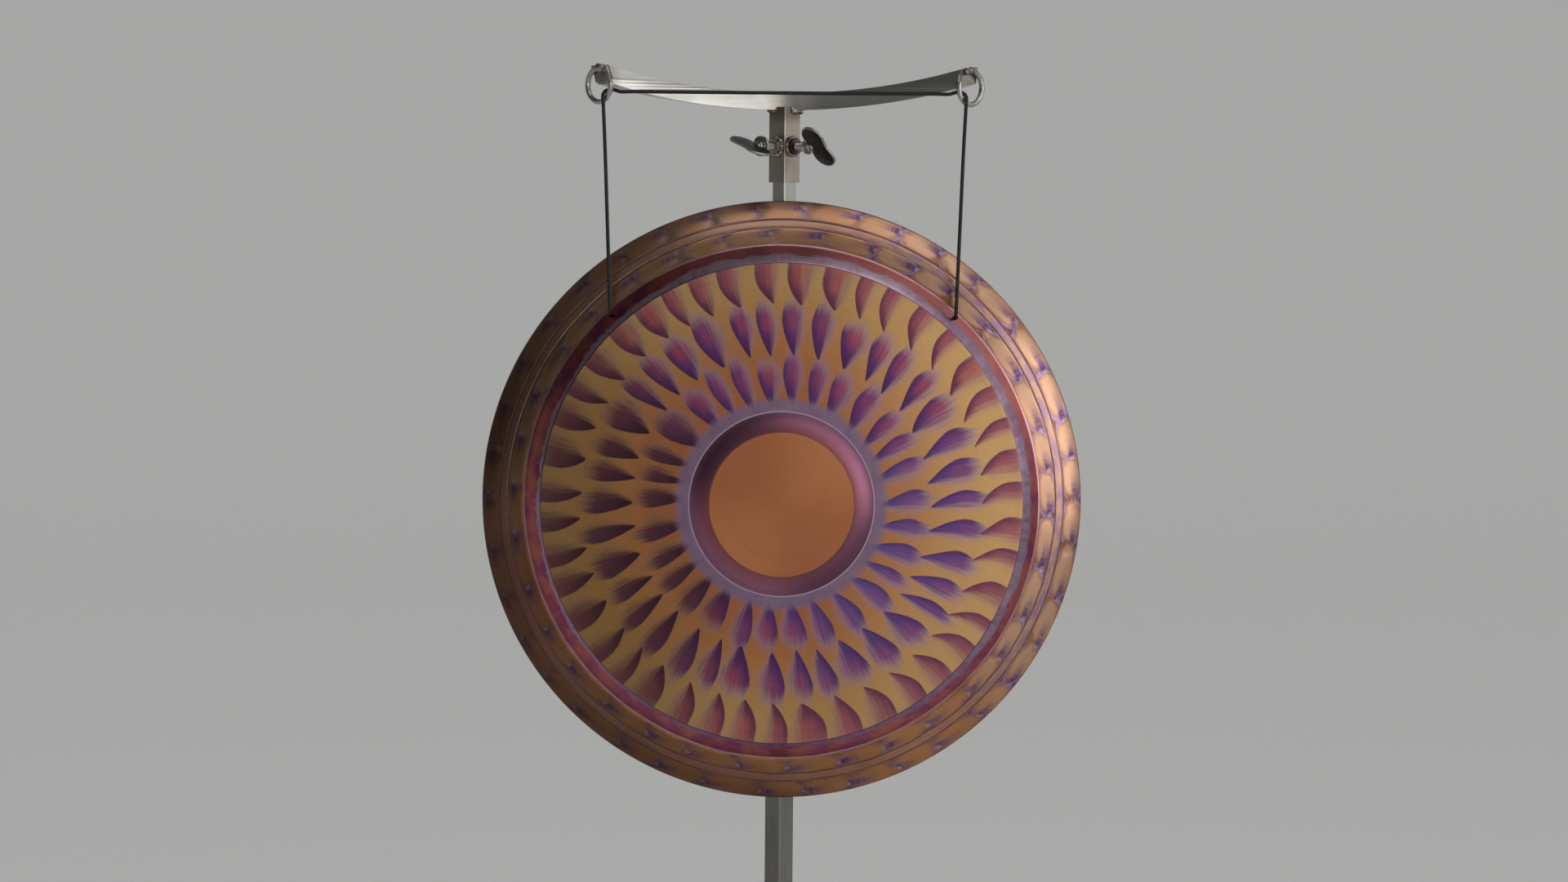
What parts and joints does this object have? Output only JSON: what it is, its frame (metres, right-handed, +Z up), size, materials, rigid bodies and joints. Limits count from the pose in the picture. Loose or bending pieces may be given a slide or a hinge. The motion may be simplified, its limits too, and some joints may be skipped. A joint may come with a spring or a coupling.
{
  "type": "hanging gong on a stand",
  "caption": "Heat-tinted hammered gong with a flat boss, hung by a black cord from the bent crossbar of a telescoping square-tube stand with wing-screw clamps.",
  "frame": {"origin": "on the floor under the middle of the post", "axes": "+Z up, the gong faces -Y, +X to the right of someone facing the gong"},
  "size_m": [0.7, 0.5626, 1.5494],
  "materials": {
    "gong_metal": "heat-tinted in gold, copper, purple and blue, circular brushing",
    "stand_steel": "brushed lengthwise",
    "welded_steel": "heat-tinted by welding",
    "dark_steel": "dark, worn",
    "cord": "black braided cord",
    "rubber": "matt black",
    "plug_plastic": "matt black"
  },
  "bodies": {
    "stand": {"outer_post": "stand_steel", "nut_post": "welded_steel", "base_socket": "stand_steel", "socket_bolt": "stand_steel", "socket_nut": "stand_steel", "leg_front_left": "stand_steel", "leg_front_right": "stand_steel", "leg_back_left": "stand_steel", "leg_back_right": "stand_steel", "leg_plug_front_left": "plug_plastic", "leg_plug_front_right": "plug_plastic", "leg_plug_back_left": "plug_plastic", "leg_plug_back_right": "plug_plastic", "foot_front_left": "rubber", "foot_front_right": "rubber", "foot_back_left": "rubber", "foot_back_right": "rubber", "foot_screw_front_left": "stand_steel", "foot_screw_front_right": "stand_steel", "foot_screw_back_left": "stand_steel", "foot_screw_back_right": "stand_steel"},
    "post": {"inner_post": "stand_steel"},
    "head": {"crossbar": "stand_steel", "end_plate_left": "welded_steel", "end_plate_right": "welded_steel", "hook_left": "stand_steel", "hook_right": "stand_steel", "head_sleeve": "stand_steel", "nut_left": "welded_steel", "nut_right": "welded_steel", "cord_bridge": "cord"},
    "gong": {"gong": "gong_metal", "cord_drop_left": "cord", "cord_drop_right": "cord", "cord_knot_left": "cord", "cord_knot_right": "cord"},
    "washer_left": {"washer_left": "stand_steel"},
    "wing_left": {"wing_screw_left": "dark_steel"},
    "washer_right": {"washer_right": "stand_steel"},
    "wing_right": {"wing_screw_right": "dark_steel"},
    "washer_post": {"washer_post": "stand_steel"},
    "wing_post": {"wing_screw_post": "dark_steel"}
  },
  "joints": [
    {"name": "post_height", "type": "slide", "parent": "stand", "child": "post", "axis": [0, 0, 1], "range_m": [-0.2, 0.15]},
    {"name": "head_lift", "type": "slide", "parent": "post", "child": "head", "axis": [0, 0, 1], "range_m": [0, 0.07]},
    {"name": "gong_swing", "type": "hinge", "parent": "head", "child": "gong", "pos_m": [0, -0.0183, 1.50435], "axis": [-1, 0, 0], "range_deg": [0, 25]},
    {"name": "screw_travel_left", "type": "slide", "parent": "head", "child": "washer_left", "axis": [-0.7071, -0.7071, 0], "range_m": [0, 0.003]},
    {"name": "screw_turn_left", "type": "hinge", "parent": "washer_left", "child": "wing_left", "pos_m": [0, 0, 1.4543], "axis": [-0.7071, -0.7071, 0], "range_deg": [0, 720]},
    {"name": "screw_travel_right", "type": "slide", "parent": "head", "child": "washer_right", "axis": [0.7071, -0.7071, 0], "range_m": [0, 0.003]},
    {"name": "screw_turn_right", "type": "hinge", "parent": "washer_right", "child": "wing_right", "pos_m": [0, 0, 1.4543], "axis": [0.7071, -0.7071, 0], "range_deg": [0, 720]},
    {"name": "screw_travel_post", "type": "slide", "parent": "stand", "child": "washer_post", "axis": [0.7071, 0.7071, 0], "range_m": [0, 0.003]},
    {"name": "screw_turn_post", "type": "hinge", "parent": "washer_post", "child": "wing_post", "pos_m": [0, 0, 0.915], "axis": [0.7071, 0.7071, 0], "range_deg": [0, 720]}
  ],
  "couplings": [
    {"joint": "screw_turn_left", "follows": "screw_travel_left", "rad_per_m": 4188.8},
    {"joint": "screw_turn_right", "follows": "screw_travel_right", "rad_per_m": 4188.8},
    {"joint": "screw_turn_post", "follows": "screw_travel_post", "rad_per_m": 4188.8}
  ]
}
